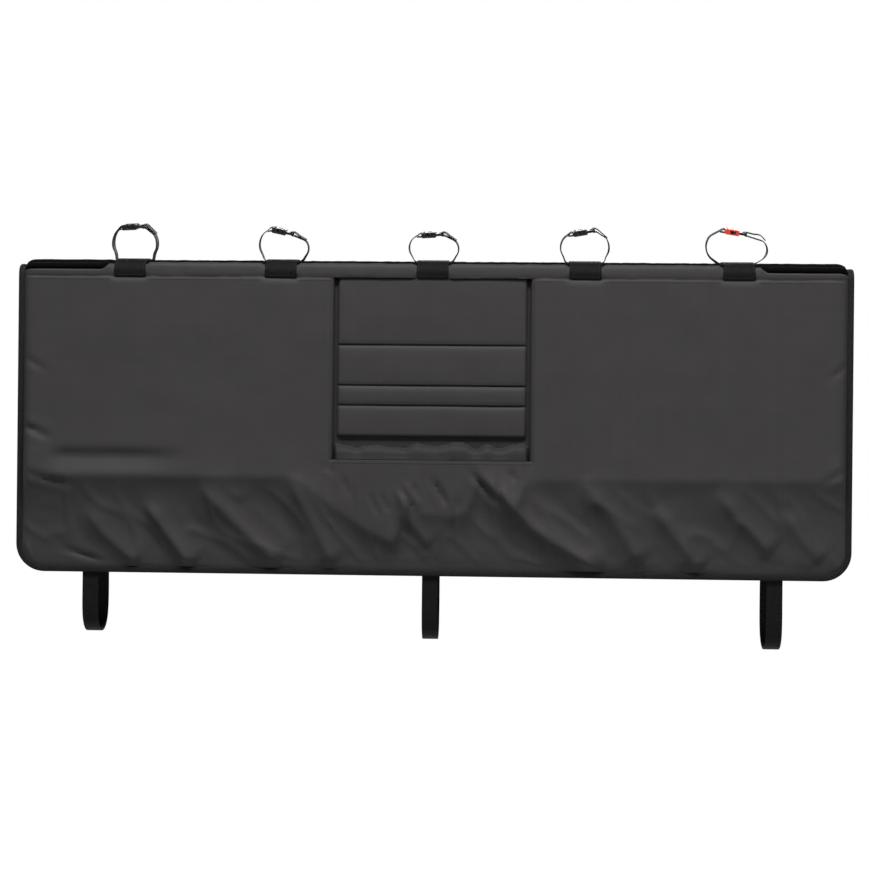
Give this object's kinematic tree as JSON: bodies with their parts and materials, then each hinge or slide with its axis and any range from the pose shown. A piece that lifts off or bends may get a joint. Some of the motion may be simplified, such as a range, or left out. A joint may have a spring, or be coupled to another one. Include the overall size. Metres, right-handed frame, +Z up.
{
  "type": "tailgate bike pad",
  "caption": "Padded cloth cover hung over a tailgate, with frame straps and buckles along its top, a folded window flap and webbing straps that go round the tailgate's foot.",
  "frame": {"origin": "middle of the lining's flat top, which rests on the tailgate's upper edge", "axes": "+Z up, +X along the tailgate to the right as seen from outside, +Y from the outer face towards the load bed"},
  "size_m": [1.34, 0.1122, 0.6808],
  "materials": {
    "cover_grey": "coated plain-weave polyester, faint sheen",
    "cover_black": "matte woven",
    "lining_grey": "soft brushed knit",
    "binding_black": "ribbed edge tape",
    "foam_white": "matte closed-cell foam",
    "webbing_black": "ribbed flat webbing",
    "grip_black": "hook and loop tape",
    "buckle_black": "moulded, fine grain",
    "buckle_red": "moulded, satin"
  },
  "bodies": {
    "root": {"front_cover": "cover_grey", "top_cover": "cover_black", "inner_cover": "cover_black", "front_foam": "foam_white", "top_foam": "foam_white", "inner_foam": "foam_white", "lining": "lining_grey", "edge_binding": "binding_black", "window_facing": "cover_grey", "facing_loop_tape": "grip_black", "flap_hook_tape": "grip_black", "window_flap": "cover_grey", "loop_patch_1": "webbing_black", "loop_strap_1": "webbing_black", "loop_buckle_socket_1": "buckle_black", "loop_buckle_plug_1": "buckle_black", "loop_patch_2": "webbing_black", "loop_strap_2": "webbing_black", "loop_buckle_socket_2": "buckle_black", "loop_buckle_plug_2": "buckle_black", "loop_patch_3": "webbing_black", "loop_strap_3": "webbing_black", "loop_buckle_socket_3": "buckle_black", "loop_buckle_plug_3": "buckle_black", "loop_patch_4": "webbing_black", "loop_strap_4": "webbing_black", "loop_buckle_socket_4": "buckle_black", "loop_buckle_plug_4": "buckle_black", "loop_patch_5": "webbing_black", "loop_strap_5": "webbing_black", "loop_buckle_socket_5": "buckle_red", "loop_buckle_plug_5": "buckle_black", "lower_strap_left": "webbing_black", "rear_tab_left": "webbing_black", "rear_buckle_socket_left": "buckle_black", "rear_buckle_plug_left": "buckle_black", "lower_strap_centre": "webbing_black", "rear_tab_centre": "webbing_black", "rear_buckle_socket_centre": "buckle_black", "rear_buckle_plug_centre": "buckle_black", "lower_strap_right": "webbing_black", "rear_tab_right": "webbing_black", "rear_buckle_socket_right": "buckle_black", "rear_buckle_plug_right": "buckle_black"}
  },
  "joints": []
}
